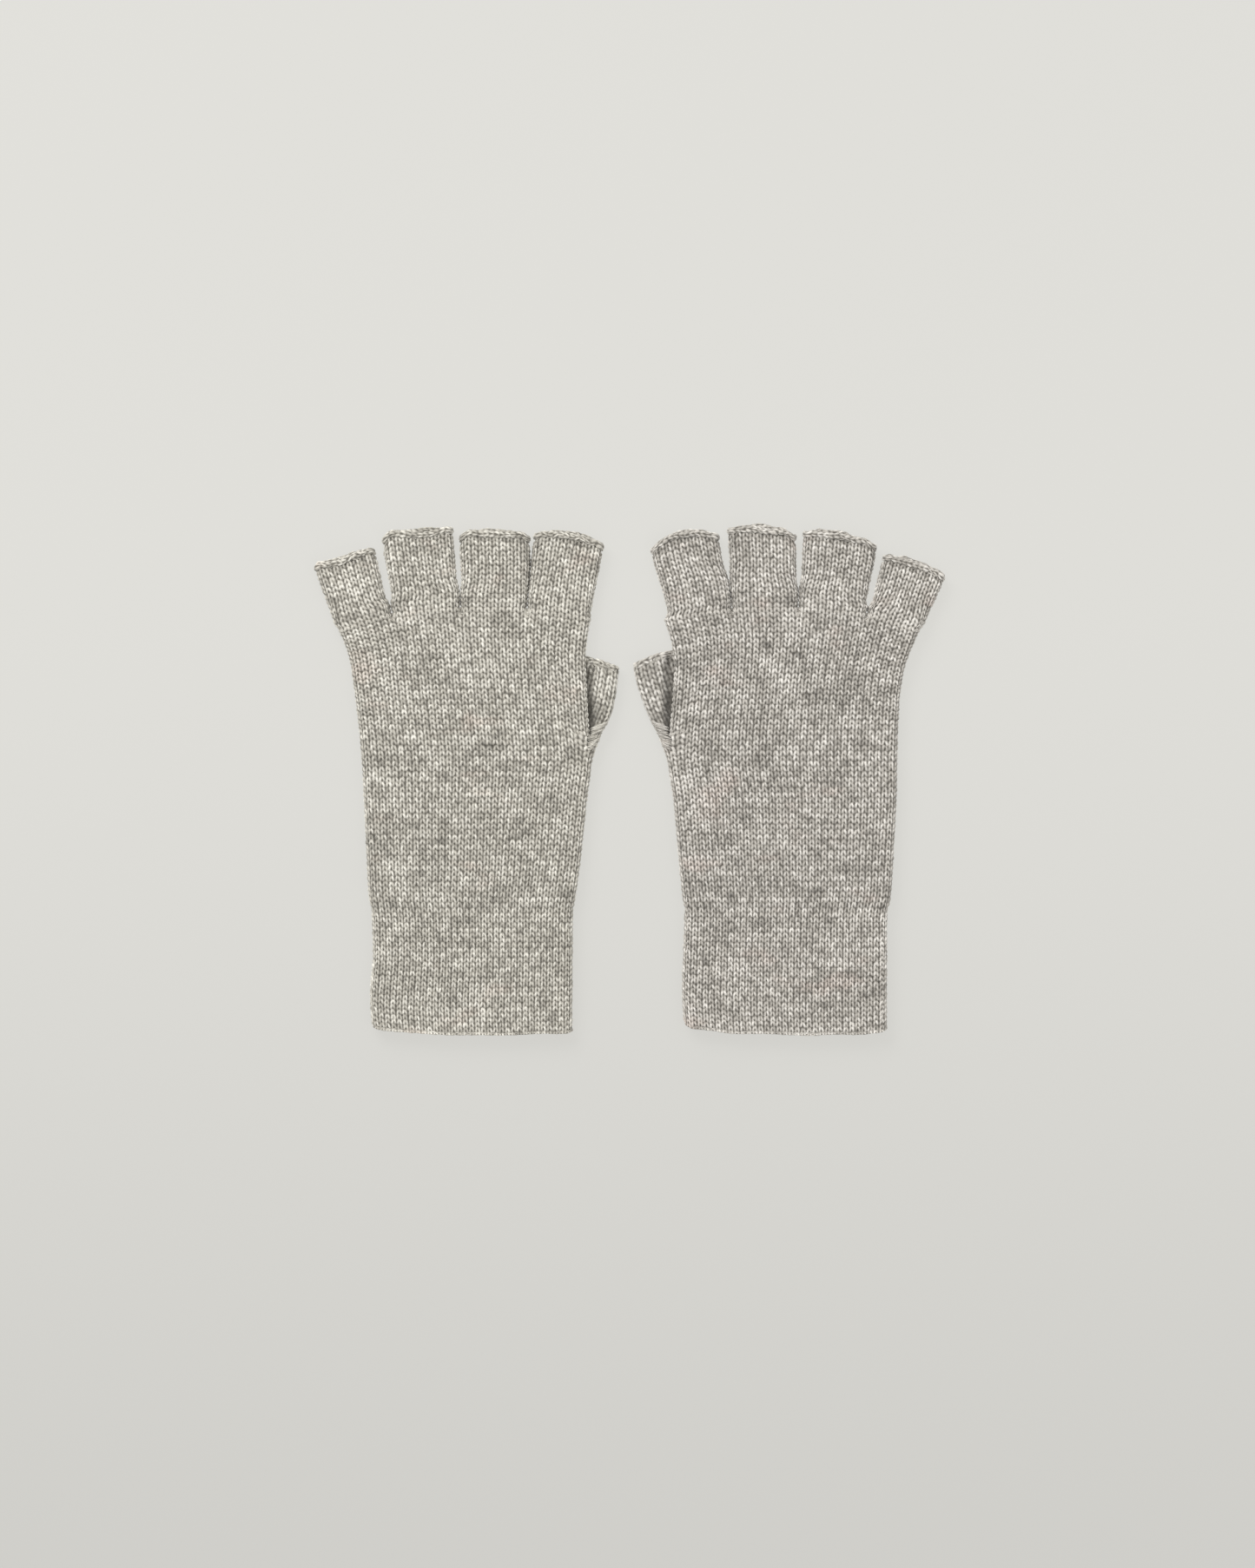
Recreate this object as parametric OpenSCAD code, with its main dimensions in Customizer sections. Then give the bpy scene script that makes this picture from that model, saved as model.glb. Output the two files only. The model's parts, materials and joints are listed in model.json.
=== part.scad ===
// A pair of knitted fingerless gloves lying flat, backs of the hands up, fingers towards +Y.
// One glove is drawn in its own frame: x = 0 in the middle of the cuff, the thumb on the +x side,
// y = 0 at the lowest point of the cuff's edge, z = 0 on the surface that it lies on.
// It is placed on the left as it is, and on the right as its mirror image.

/* [Cuff] */
// Width of the cuff lying flat
cuff_w = 92; // [88:1:94]
// Height of the cuff, from its edge to the hand
cuff_len = 56; // [45:1:60]
// How far the corners of the cuff's edge stand above its middle
cuff_bow = 2; // [0:0.5:3]
// Height of the bound edge of the cuff
cuff_edge_h = 3; // [2:0.5:5]

/* [Hand] */
// From the cuff to the fork between the middle and index fingers
hand_len = 136; // [132:1:140]
// Width at the widest point below the thumb, on the thumb's side of the centre line
palm_thumb_side = 54; // [53:0.5:55]
// Width at the same height, on the little finger's side of the centre line
palm_little_side = 51; // [49:0.5:53]

/* [Fingers] */
// Length of the little finger's stall
little_len = 31; // [26:1:34]
// Length of the ring finger's stall
ring_len = 37; // [32:1:38]
// Length of the middle finger's stall, the longest
middle_len = 38.4; // [37:0.2:44]
// Length of the index finger's stall
index_len = 37; // [32:1:38]
// How far the little finger leans outward, in degrees
little_lean = 17.5; // [15:0.5:20]
// How far the index finger leans outward, in degrees
index_lean = 8.5; // [6:0.5:10]
// How far the middle of each stall's end stands above its corners
tip_arch = 1.8; // [0.5:0.1:2.5]
// Height of the bound edge at each stall's end
edge_h = 2.4; // [1.8:0.2:3]

/* [Thumb] */
// Width of the thumb's stall lying flat
thumb_w = 27; // [25:0.5:28]
// Length of the thumb's stall
thumb_len = 31; // [27:1:32]
// How far the thumb leans outward, in degrees
thumb_lean = 15; // [13:0.5:17]
// Thickness of the thumb where the hand lies on it
thumb_under_t = 3.2; // [3:0.1:3.2]
// Thickness of the thumb beside the hand
thumb_free_t = 6.8; // [6.6:0.1:7.2]

/* [Knit] */
// Thickness of the glove lying flat: both layers and the space between them
flat_t = 8.4; // [8.4:0.2:9.6]
// Thickness of one layer
wall = 1.8; // [1.6:0.1:1.8]
// Thickness of one layer of the thumb
thumb_wall = 1.1; // [1:0.1:1.1]
// Space between pieces that move against each other
gap = 0.3; // [0.3:0.05:0.5]

/* [Pair] */
// Distance between the middles of the two cuffs
pair_spacing = 142; // [138:1:180]

/* [Hidden] */

SIDES = ["left", "right"];
FINGERS = ["little", "ring", "middle", "index"];
finger_len = [little_len, ring_len, middle_len, index_len];

mid_z = flat_t / 2;
fork_y = cuff_len + hand_len;      // height of the fork between middle and index
thumb_fork_up = 83;                // from the cuff to the fork of the thumb
split_y = cuff_len + thumb_fork_up; // height of the thumb's fork, where the hand's two sections meet
hinge_up = mid_z + gap;            // from a finger's root line up to its bend line
wide_steps = 12;                   // points along each face of the hand and cuff
stall_steps = 6;                   // points along each face of a stall
cap_steps = 4;                     // sides of each rounded edge

// Root line of the four fingers, from the little finger's outer corner to the index finger's
fork_little = [-36.5, fork_y - 2.2];
fork_middle = [-5.5, fork_y + 0.4];
fork_index = [24.5, fork_y];
little_w = 27;
index_w = 29.6;
roots = [
    fork_little - little_w * [cos(little_lean), sin(little_lean)],
    fork_little,
    fork_middle,
    fork_index,
    fork_index + index_w * [cos(index_lean), -sin(index_lean)]
];

// Half-widths of the glove against height, on the little finger's side and on the thumb's side
fork_thumb_side = palm_thumb_side - 1;     // at the fork of the thumb
widest_y = cuff_len + 67;
little_side = [
    [0, cuff_w / 2], [cuff_len, cuff_w / 2 + 0.5], [cuff_len + 6, cuff_w / 2 + 2],
    [widest_y, palm_little_side], [split_y, palm_little_side + 1.2], [split_y + 26, 54.5],
    [split_y + 36, 58], [roots[0].y, -roots[0].x]
];
thumb_side = [
    [0, cuff_w / 2], [cuff_len, cuff_w / 2 + 0.5], [cuff_len + 20, 49], [widest_y, palm_thumb_side],
    [split_y, fork_thumb_side], [split_y + 30, 51.6], [roots[4].y, roots[4].x]
];

// The thumb: its direction, and the middle of its root line
thumb_dir = [sin(thumb_lean), cos(thumb_lean)];
thumb_across = [cos(thumb_lean), -sin(thumb_lean)];
thumb_root = [45.4, split_y + 0.7];
thumb_pivot_z = thumb_under_t / 2;
thumb_hinge_up = thumb_pivot_z + gap;
thumb_room = thumb_under_t + 2 * gap;    // height that the hand leaves free above the surface there
seam_drop = 2.4;                   // from the thumb's root line down to the seam of the hand's sections
room_side = [21, 29];              // the hand's underside rises over the thumb between these x
room_end = [split_y + 37, split_y + 42];   // and comes down again between these y
stall_space = 2 * gap + 0.2;       // between neighbouring stalls
glove_len = (roots[2].y + roots[3].y) / 2 + middle_len;

function mix(a, b, t) = a + (b - a) * t;
function smooth(lo, hi, x) = let (t = min(1, max(0, (x - lo) / (hi - lo)))) t * t * (3 - 2 * t);

// Height of the thumb's root line at x
function thumb_root_y(x) = thumb_root.y - (x - thumb_root.x) * tan(thumb_lean);
// Line where the hand's two sections meet
function seam_y(x) = min(split_y, thumb_root_y(x) - seam_drop);
// How far the hand's underside is raised over the thumb
function lift(x, y) = thumb_room * smooth(room_side[0], room_side[1], x)
    * (1 - smooth(room_end[0], room_end[1], y)) * smooth(seam_y(x) - 1.2, seam_y(x) - 0.2, y);
// Height of the fingers' root line at a fraction t of the hand's width
function root_y(t) = let (x = mix(roots[0].x, roots[4].x, t))
    lookup(x, [for (r = roots) [r.x, r.y]]);

// A flattened ring with round ends, as [place along the face, sideways reach, height] for each point.
// It runs over the top from the +x end, round the -x end, and back underneath.
function ring_plan(steps) = concat(
    [for (i = [0:steps]) [1 - i / steps, 0, 1]],
    [for (j = [1:cap_steps - 1]) let (a = 180 * j / cap_steps) [0, -sin(a), cos(a)]],
    [for (i = [0:steps]) [i / steps, 0, -1]],
    [for (j = [1:cap_steps - 1]) let (a = 180 * j / cap_steps) [1, sin(a), -cos(a)]]
);

function flat(lists) = [for (l = lists) for (p = l) p];

// A closed wall between a stack of outer rings and a stack of inner rings
module knitted_tube(outer, inner) {
    n = len(outer[0]);
    last = len(outer) - 1;
    base = n * len(outer);
    polyhedron(
        points = concat(flat(outer), flat(inner)),
        faces = concat(
            [for (r = [0:last - 1]) for (i = [0:n - 1]) let (j = (i + 1) % n)
                for (f = [[r * n + i, r * n + j, (r + 1) * n + j],
                          [r * n + i, (r + 1) * n + j, (r + 1) * n + i]])
                    f],
            [for (r = [0:last - 1]) for (i = [0:n - 1]) let (j = (i + 1) % n, b = base)
                for (f = [[b + r * n + i, b + (r + 1) * n + j, b + r * n + j],
                          [b + r * n + i, b + (r + 1) * n + i, b + (r + 1) * n + j]])
                    f],
            [for (i = [0:n - 1]) let (j = (i + 1) % n)
                for (f = [[i, base + i, base + j], [i, base + j, j]]) f],
            [for (i = [0:n - 1]) let (j = (i + 1) % n, o = last * n, b = base + last * n)
                for (f = [[o + i, b + j, b + i], [o + i, o + j, b + j]]) f]
        )
    );
}

// One ring of the hand or cuff. s runs from the lower line (0) to the upper line (1),
// which are functions of the fraction t of the width; inset is 0 outside and wall inside.
function body_ring(lower, upper, s, inset) =
    let (
        yl = mix(lower(0), upper(0), s),
        yr = mix(lower(1), upper(1), s),
        a = -lookup(yl, little_side) + mid_z,
        b = lookup(yr, thumb_side) - mid_z
    )
    [for (p = ring_plan(wide_steps))
        let (
            x = mix(a, b, p[0]),
            y = mix(lower(p[0]), upper(p[0]), s),
            low = lift(x, y),
            half = (flat_t - low) / 2 - inset
        )
        [x + p[1] * (mid_z - inset), y, (flat_t + low) / 2 + p[2] * half]
    ];

// The lines that bound the sections, against the fraction t of the width
cuff_bottom = function (t) cuff_bow * pow(2 * t - 1, 2);
cuff_edge_top = function (t) cuff_edge_h + cuff_bow * pow(2 * t - 1, 2);
cuff_top = function (t) cuff_len - gap;
hand_bottom = function (t) cuff_len;
seam_line = function (t) seam_y(mix(mid_z - palm_little_side, fork_thumb_side - mid_z, t));
root_line = function (t) root_y(t);

module body_section(lower, upper, stations) {
    knitted_tube(
        [for (s = stations) body_ring(lower, upper, s, 0)],
        [for (s = stations) body_ring(lower, upper, s, wall)]
    );
}

// The four-finger part of the hand, from the thumb's fork to the finger roots
module hand_upper() {
    color([0.69, 0.67, 0.63]) body_section(seam_line, root_line, [0, 0.25, 0.5, 0.72, 0.84, 1]);
}

// The five-finger part of the hand, from the cuff to the thumb's fork
module hand_lower() {
    color([0.67, 0.65, 0.61]) body_section(hand_bottom, seam_line, [0, 0.1, 0.35, 0.75, 0.97, 1]);
}

// The gathered stitches that close the hand between the fingers
module crotch_ties() {
    tie_d = 2.4;
    color([0.61, 0.59, 0.55])
        for (fork = [fork_little, fork_middle, fork_index])
            translate([fork.x, fork.y - tie_d, wall])
                cylinder(d = tie_d, h = flat_t - 2 * wall, $fn = 24);
}

// The ribbed cuff
module cuff_rib() {
    color([0.66, 0.64, 0.6]) body_section(cuff_edge_top, cuff_top, [0, 0.5, 1]);
}

// The bound edge at the cuff's mouth
module cuff_edge() {
    // place along its height, and what the wall gives up outside and inside there
    profile = [[0, 0.5, -0.3], [0.35, 0, 0.1], [1, 0, 0]];
    color([0.7, 0.68, 0.64])
        knitted_tube(
            [for (p = profile) body_ring(cuff_bottom, cuff_edge_top, p[0], p[1])],
            [for (p = profile) body_ring(cuff_bottom, cuff_edge_top, p[0], wall + p[2])]
        );
}

// One ring of a finger's stall of width w. v(u, h) is the place along the stall, for a place u across it
// and a height h above its middle; inset is 0 outside and wall inside.
function stall_ring(w, inset, v) =
    [for (p = ring_plan(stall_steps))
        let (
            r = mid_z - inset,
            u = mix(-w / 2 + mid_z, w / 2 - mid_z, p[0]) + p[1] * r
        )
        [u, v(u, p[2] * r), mid_z + p[2] * r]
    ];

// Puts a finger's own frame on its root line: u along the line, v up the finger
module at_finger(i) {
    line = roots[i + 1] - roots[i];
    middle = (roots[i + 1] + roots[i]) / 2;
    translate([middle.x, middle.y, 0]) rotate(atan2(line.y, line.x)) children();
}

function finger_w(i) = norm(roots[i + 1] - roots[i]) - stall_space;
function end_v(w, length, u) = length - tip_arch * pow(2 * u / w, 2);

// A finger's stall: its root is round about the bend line, and its end is arched
module finger_stall(i) {
    w = finger_w(i);
    tube_len = finger_len[i] - edge_h;
    root = function (u, h) hinge_up - sqrt(max(0, mid_z * mid_z - h * h));
    third = function (u, h) mix(hinge_up, tube_len, 0.33);
    tip = function (u, h) end_v(w, tube_len, u);
    color([0.69, 0.67, 0.63])
        at_finger(i)
            knitted_tube(
                [for (v = [root, third, tip]) stall_ring(w, 0, v)],
                [for (v = [root, third, tip]) stall_ring(w, wall, v)]
            );
}

// The bound edge at a finger's open end
module finger_edge(i) {
    w = finger_w(i);
    profile = [[0, 0, 0], [0.6, 0, 0.2], [1, 0.5, -0.3]];
    color([0.76, 0.74, 0.69])
        at_finger(i)
            knitted_tube(
                [for (p = profile) stall_ring(w, p[1], edge_line(w, finger_len[i], p[0]))],
                [for (p = profile) stall_ring(w, wall + p[2], edge_line(w, finger_len[i], p[0]))]
            );
}
function edge_line(w, length, s) = function (u, h) end_v(w, length - edge_h * (1 - s), u);

// Thickness of the thumb where it lies at x: thin under the hand's edge, fuller beside it
function thumb_t(x) = mix(thumb_under_t, thumb_free_t, smooth(fork_thumb_side + 0.4, fork_thumb_side + 4, x));

// One ring of the thumb's stall. root_end makes its root round about the bend line
function thumb_ring(v, inset, root_end = false, drop = 0) =
    let (edge_r = thumb_under_t / 2)
    [for (p = ring_plan(2 * stall_steps))
        let (
            r = edge_r - inset,
            u = mix(-thumb_w / 2 + edge_r, thumb_w / 2 - edge_r, p[0]) + p[1] * r,
            vv = v - drop * pow(2 * u / thumb_w, 2),
            x = thumb_root.x + u * thumb_across.x + vv * thumb_dir.x,
            t = thumb_t(x),
            z = t / 2 + p[2] * (t / 2 - inset),
            dz = z - thumb_pivot_z,
            turn = sqrt(max(0, pow(thumb_pivot_z, 2) - dz * dz))
        )
        [u, root_end ? thumb_hinge_up - turn : vv, z]
    ];

module at_thumb() {
    translate([thumb_root.x, thumb_root.y, 0]) rotate(-thumb_lean) children();
}

// The thumb's stall, which comes from the palm and lies partly under the hand's edge
module thumb_stall() {
    tube_len = thumb_len - edge_h;
    color([0.68, 0.66, 0.62])
        at_thumb() knitted_tube(thumb_stack(tube_len, 0), thumb_stack(tube_len, thumb_wall));
}
function thumb_stack(tube_len, inset) = [
    thumb_ring(thumb_hinge_up, inset, true),
    thumb_ring(mix(thumb_hinge_up, tube_len, 0.33), inset),
    thumb_ring(mix(thumb_hinge_up, tube_len, 0.66), inset),
    thumb_ring(tube_len, inset, false, tip_arch)
];

// The bound edge at the thumb's open end
module thumb_edge() {
    profile = [[0, 0, 0], [0.6, 0, 0.1], [1, 0.35, -0.2]];
    color([0.76, 0.74, 0.69])
        at_thumb()
            knitted_tube(
                [for (p = profile) thumb_ring(thumb_len - edge_h * (1 - p[0]), p[1], false, tip_arch)],
                [for (p = profile)
                    thumb_ring(thumb_len - edge_h * (1 - p[0]), thumb_wall + p[2], false, tip_arch)]
            );
}

// Places a glove in the pair, with the pair's middle at the origin
module place(side) {
    translate([(side == "left" ? -1 : 1) * pair_spacing / 2, -glove_len / 2, 0])
        mirror([side == "left" ? 0 : 1, 0, 0])
            children();
}

for (side = SIDES) {
    place(side) hand_upper();
    place(side) hand_lower();
    place(side) crotch_ties();
    place(side) cuff_rib();
    place(side) cuff_edge();
    place(side) thumb_stall();
    place(side) thumb_edge();
    for (i = [0:3]) {
        place(side) finger_stall(i);
        place(side) finger_edge(i);
    }
}
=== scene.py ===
"""A pair of knitted fingerless gloves lying flat, seen from straight above.

Each glove is built in its own frame, in millimetres, as in the CAD part: x = 0 in the middle of the cuff
with the thumb on the +x side, y = 0 at the cuff's edge with the fingers towards +y, and z = 0 on the surface
that it lies on. The right glove is the left one's mirror image, with small differences of its own.
A surface is a grid that follows the knitting: "wales" run up the glove and "courses" run round it.
"""
import json
import math

import bpy
import numpy as np
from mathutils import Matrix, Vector


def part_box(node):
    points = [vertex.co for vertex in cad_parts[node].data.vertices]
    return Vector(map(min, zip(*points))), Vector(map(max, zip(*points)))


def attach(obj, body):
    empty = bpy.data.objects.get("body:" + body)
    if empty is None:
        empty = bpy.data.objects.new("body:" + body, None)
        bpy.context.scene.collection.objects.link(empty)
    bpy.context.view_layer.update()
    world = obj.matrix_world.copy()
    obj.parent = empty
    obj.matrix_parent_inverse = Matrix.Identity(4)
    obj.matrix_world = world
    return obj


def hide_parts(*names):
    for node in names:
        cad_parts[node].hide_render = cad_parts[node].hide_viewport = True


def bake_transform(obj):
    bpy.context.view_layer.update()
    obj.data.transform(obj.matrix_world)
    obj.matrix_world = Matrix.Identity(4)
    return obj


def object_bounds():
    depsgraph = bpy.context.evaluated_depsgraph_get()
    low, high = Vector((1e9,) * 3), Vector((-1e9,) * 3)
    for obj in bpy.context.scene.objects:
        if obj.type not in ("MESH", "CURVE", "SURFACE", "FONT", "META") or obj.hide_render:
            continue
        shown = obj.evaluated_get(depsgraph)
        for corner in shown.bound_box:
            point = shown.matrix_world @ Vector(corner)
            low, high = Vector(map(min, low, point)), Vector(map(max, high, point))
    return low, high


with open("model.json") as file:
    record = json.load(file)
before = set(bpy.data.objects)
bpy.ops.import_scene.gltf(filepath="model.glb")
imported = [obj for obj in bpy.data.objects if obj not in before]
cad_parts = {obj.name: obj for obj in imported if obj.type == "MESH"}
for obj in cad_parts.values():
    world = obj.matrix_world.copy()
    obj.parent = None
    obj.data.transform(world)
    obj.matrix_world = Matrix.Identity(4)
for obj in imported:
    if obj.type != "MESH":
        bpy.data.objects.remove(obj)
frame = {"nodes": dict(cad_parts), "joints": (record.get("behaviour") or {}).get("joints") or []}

cad_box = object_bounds()
scene = bpy.context.scene
MM = 0.001
SIDES = ("left", "right")
FINGERS = ("little", "ring", "middle", "index")

# ---------------------------------------------------------------- the knit
WALE = 3.07  # mm, width of one stitch
COURSE = 2.36  # mm, height of one stitch on the hand
FINGER_WALE = 3.2
FINGER_COURSE = 2.24
CUFF_COURSE = 2.22
HAND_WALES = 70  # stitches round the hand and cuff
RELIEF = 1.05  # mm, from the grooves to the tops of the strands
KNIT = 1.85  # mm, from the tops of the strands to the inside of the knit
PURL = 0.15  # mm, height of the bumps inside
LEAST = 0.1  # mm, least thickness of the knit at the bottom of a groove
TUCK = 0.6  # mm, how deep the end of a piece goes under the next one
PER_WALE = 9  # faces across one stitch
PER_COURSE = 4  # faces up one stitch

# ---------------------------------------------------------------- places, from the frame


def corner(node, which):
    return np.array(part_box(node)[which]) / MM


def joint(name):
    return next(j for j in frame["joints"] if j["name"] == name)


GLOVE_Z = 7.2  # mm, thickness lying flat
CUFF_LEN = corner("left_hand_lower", 0)[1] - corner("left_cuff_edge", 0)[1]
CUFF_HALF = (corner("left_cuff_edge", 1)[0] - corner("left_cuff_edge", 0)[0]) / 2
BASE_Y = corner("left_cuff_edge", 0)[1]
CENTRE_X = {s: (corner(s + "_cuff_edge", 0)[0] + corner(s + "_cuff_edge", 1)[0]) / 2 for s in SIDES}
FLIP = {"left": 1, "right": -1}


def to_glove(side, point):
    """A point of the frame, in mm, in the glove's own frame."""
    x, y, z = np.array(point) / MM
    return np.array([(x - CENTRE_X[side]) * FLIP[side], y - BASE_Y, z])


def to_frame(side, points):
    """Points of the glove's own frame, in mm, as points of the frame in metres."""
    p = np.array(points, float)
    return np.stack([p[..., 0] * FLIP[side] + CENTRE_X[side], p[..., 1] + BASE_Y, p[..., 2]], -1) * MM


BEND_UP = 4.5  # mm, from a finger's root line up to its bend line, as in the CAD part
THUMB_UP = 1.9  # mm, the same for the thumb


class Stall:
    """A finger's or thumb's own frame: u across, v up, both in the plane of the glove."""

    def __init__(self, side, finger):
        j = joint(f"{side}_{finger}_bend")
        pivot = to_glove(side, j["pos_m"])[:2]
        axis = np.array(j["axis"][:2]) * (-1, -FLIP[side])
        self.u = axis / np.linalg.norm(axis)
        self.v = np.array([-self.u[1], self.u[0]])
        self.root = pivot - self.v * (THUMB_UP if finger == "thumb" else BEND_UP)
        self.half = self.outline(side, f"{side}_{finger}_stall")[:, 0].max()
        self.length = self.outline(side, f"{side}_{finger}_edge")[:, 1].max()

    def local(self, point):
        d = np.array(point[:2]) - self.root
        return d @ self.u, d @ self.v

    def outline(self, side, node):
        """The CAD node's points in this frame."""
        return np.array([self.local(to_glove(side, v.co)) for v in frame["nodes"][node].data.vertices])

    def world(self, u, v, z):
        return np.stack([self.root[0] + u * self.u[0] + v * self.v[0],
                         self.root[1] + u * self.u[1] + v * self.v[1], z], -1)


STALLS = {(s, f): Stall(s, f) for s in SIDES for f in FINGERS + ("thumb",)}


def smooth(lo, hi, x):
    t = np.clip((x - lo) / (hi - lo), 0, 1)
    return t * t * (3 - 2 * t)


def mix(a, b, t):
    return a + (b - a) * t


def rounded(points, blur=3.5):
    """A function through a short list of (place, value) with its corners rounded off."""
    places, values = np.array(points, float).T
    step, past = 0.5, 30
    grid = np.arange(places[0] - past, places[-1] + past, step)
    line = np.interp(grid, places, values)
    first_slope = (values[1] - values[0]) / (places[1] - places[0])
    last_slope = (values[-1] - values[-2]) / (places[-1] - places[-2])
    line = np.where(grid < places[0], values[0] + first_slope * (grid - places[0]), line)
    line = np.where(grid > places[-1], values[-1] + last_slope * (grid - places[-1]), line)
    reach = np.arange(-3 * blur, 3 * blur + step, step)
    kernel = np.exp(-0.5 * (reach / blur) ** 2)
    pad = len(reach) // 2
    padded = np.pad(line, pad, mode="edge")
    line = np.convolve(padded, kernel / kernel.sum(), mode="same")[pad:-pad]
    return lambda x: np.interp(x, grid, line)


FORK_UP = 83  # mm, from the cuff to the fork of the thumb, as in the CAD part
SPLIT_Y = CUFF_LEN + FORK_UP
SEAM_DROP = 2.4  # mm, from the thumb's root line down to the seam of the hand's two sections
LITTLE_CORNER = (1.6, 0.5)  # mm, how far inside the CAD part's the little finger's corner is
INDEX_CORNER = {"left": 0.0, "right": 1.6}  # mm, how much wider the hand is below the index finger


def root_points(side):
    """The fingers' root line: the little finger's outer corner, the three forks and the index finger's outer
    corner."""
    room = 0.4  # mm, half the space that the CAD part leaves between stalls
    ends = [(s.root - s.u * (s.half + room), s.root + s.u * (s.half + room))
            for s in (STALLS[side, f] for f in FINGERS)]
    forks = [(ends[i][1] + ends[i + 1][0]) / 2 for i in range(3)]
    return np.array([ends[0][0] + LITTLE_CORNER] + forks + [ends[3][1] + (INDEX_CORNER[side], 0)])


ROOTS = {s: root_points(s) for s in SIDES}

# Half-width of each glove at heights above the cuff's edge, in mm, on either side
LITTLE_SIDE = {
    "left": [(0, 45.4), (8, 46.4), (17, 47.2), (36, 45.6), (56, 46.2), (61, 47.7), (76, 48.3), (107, 49.9),
             (123, 50.6), (139, 52.0), (154, 54.0), (170, 56.2), (182, 60.6)],
    "right": [(0, 46.2), (56, 46.4), (61, 48.2), (76, 49.0), (107, 50.7), (123, 50.9), (139, 51.3),
              (154, 52.2), (166, 54.4), (182, 60.6)],
}
THUMB_SIDE = {
    "left": [(0, 45.6), (56, 45.9), (61, 47.0), (76, 49.2), (107, 52.4), (122, 54.6), (139, 53.1),
             (154, 52.2), (170, 51.4), (178, 52.2), (187.6, 53.8)],
    "right": [(0, 45.8), (8, 47.0), (20, 47.8), (36, 47.2), (56, 46.4), (61, 47.3), (76, 48.9), (107, 51.5),
              (122, 54.2), (139, 53.0), (154, 51.5), (168, 50.8), (178, 52.2), (187.6, 55.4)],
}
little_side = {s: rounded(LITTLE_SIDE[s]) for s in SIDES}
thumb_side = {s: rounded(THUMB_SIDE[s]) for s in SIDES}


def root_y(side, x):
    return np.interp(x, ROOTS[side][:, 0], ROOTS[side][:, 1])


def seam_y(side, x):
    """Where the hand's two sections meet, a little below the thumb's root line."""
    s = STALLS[side, "thumb"]
    return np.minimum(SPLIT_Y, s.root[1] + (x - s.root[0]) * s.u[1] / s.u[0] - SEAM_DROP)


# ---------------------------------------------------------------- surfaces


def ring(q, a, b, r):
    """A flattened ring with round ends of radius r, from x = a - r to x = b + r, as x and a height from -1 to
    1. q runs 0 to 1 from the middle of the +x end, over the top, round the -x end and back underneath."""
    face, cap = np.maximum(b - a, 0), math.pi * r
    half = face + cap
    d = (q % 1) * 2
    under = d >= 1
    d = np.where(under, d - 1, d) * half
    first, last = d < cap / 2, d > cap / 2 + face
    angle = np.where(first, d / r, np.where(last, (d - face) / r, math.pi / 2))
    x = np.where(first, b + r * np.cos(angle), np.where(last, a + r * np.cos(angle), b - (d - cap / 2)))
    return np.where(under, a + b - x, x), np.where(under, -np.sin(angle), np.sin(angle))


def waves(x, y, seed, size):
    """Slow soft waves about size apart, from about -1 to 1."""
    rng = np.random.default_rng(seed)
    total, full_turn = 0, 6.3
    for _ in range(5):
        turn, pace, start = rng.uniform(0, full_turn), rng.uniform(0.6, 1.5) / size, rng.uniform(0, full_turn)
        total = total + np.sin((x * math.cos(turn) + y * math.sin(turn)) * pace * 2 * math.pi + start)
    return total / 3


R = GLOVE_Z / 2  # mm, half the glove's thickness
STALL_Z = 6.8  # mm, thickness of a finger's stall
STALL_R = STALL_Z / 2
FOLD = 2.4  # mm, how far in from its sides the glove is rounded
THUMB_UNDER_Z = 2.8  # mm, thickness of the thumb under the hand's edge
THUMB_FREE_Z = 5.8  # mm, thickness of the thumb beside it
THUMB_ROOM = 3.7  # mm, how far the hand's underside is raised over the thumb
ROOM_X = (22, 29)  # mm across the glove, where it starts to rise and where it is up
ROOM_END = (37, 45)  # mm above the thumb's fork, where it starts to fall and where it is down
PUFF = 0.28  # mm, height of the slow waves in the top of the glove
PUFF_SIZE = 70  # mm, about how far apart they are
SEED = {"left": 11, "right": 47}  # each glove's own, for everything random


def puff(side, x, y):
    """How far the top of the glove rises and falls, in slow waves."""
    return PUFF * waves(x, y, SEED[side], PUFF_SIZE)


def lift(x, y):
    """How far the hand's underside is raised over the thumb."""
    return THUMB_ROOM * smooth(*ROOM_X, x) * (1 - smooth(SPLIT_Y + ROOM_END[0], SPLIT_Y + ROOM_END[1], y))


def quarter(t):
    """A round shoulder: 1 at t = 0, where it stands upright, falling to 0 at t = 1."""
    return 1 - np.sqrt(np.clip(1 - (1 - np.clip(t, 0, 1)) ** 2, 0, 1))


PINCH_UP = 4  # mm, how far below the root line the hand starts to narrow between two fingers
PINCH_START = 0.5  # mm, half the width of the narrowing where it starts
DIMPLE = 0.9  # mm, depth of the dimple between two fingers
DIMPLE_SIZE = (3.2, 4.5)  # mm, its reach across and along the glove


def fork_pinch(side, x, y):
    """How far the hand narrows, 0 to 1, between two fingers, where it runs into their round sides."""
    near = smooth(root_y(side, x) - PINCH_UP, root_y(side, x), y)
    shut = sum(quarter(np.abs(x - fork[0]) / mix(PINCH_START, FOLD, near)) for fork in ROOTS[side][1:4])
    return np.clip(shut, 0, 1) * near


def dimple(side, x, y):
    """How far the top sinks, in mm, round the gathered stitches between two fingers."""
    across, along = DIMPLE_SIZE
    return sum(DIMPLE * np.exp(-((x - fork[0]) / across) ** 2 - ((y - fork[1]) / along) ** 2)
               for fork in ROOTS[side][1:4])


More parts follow.
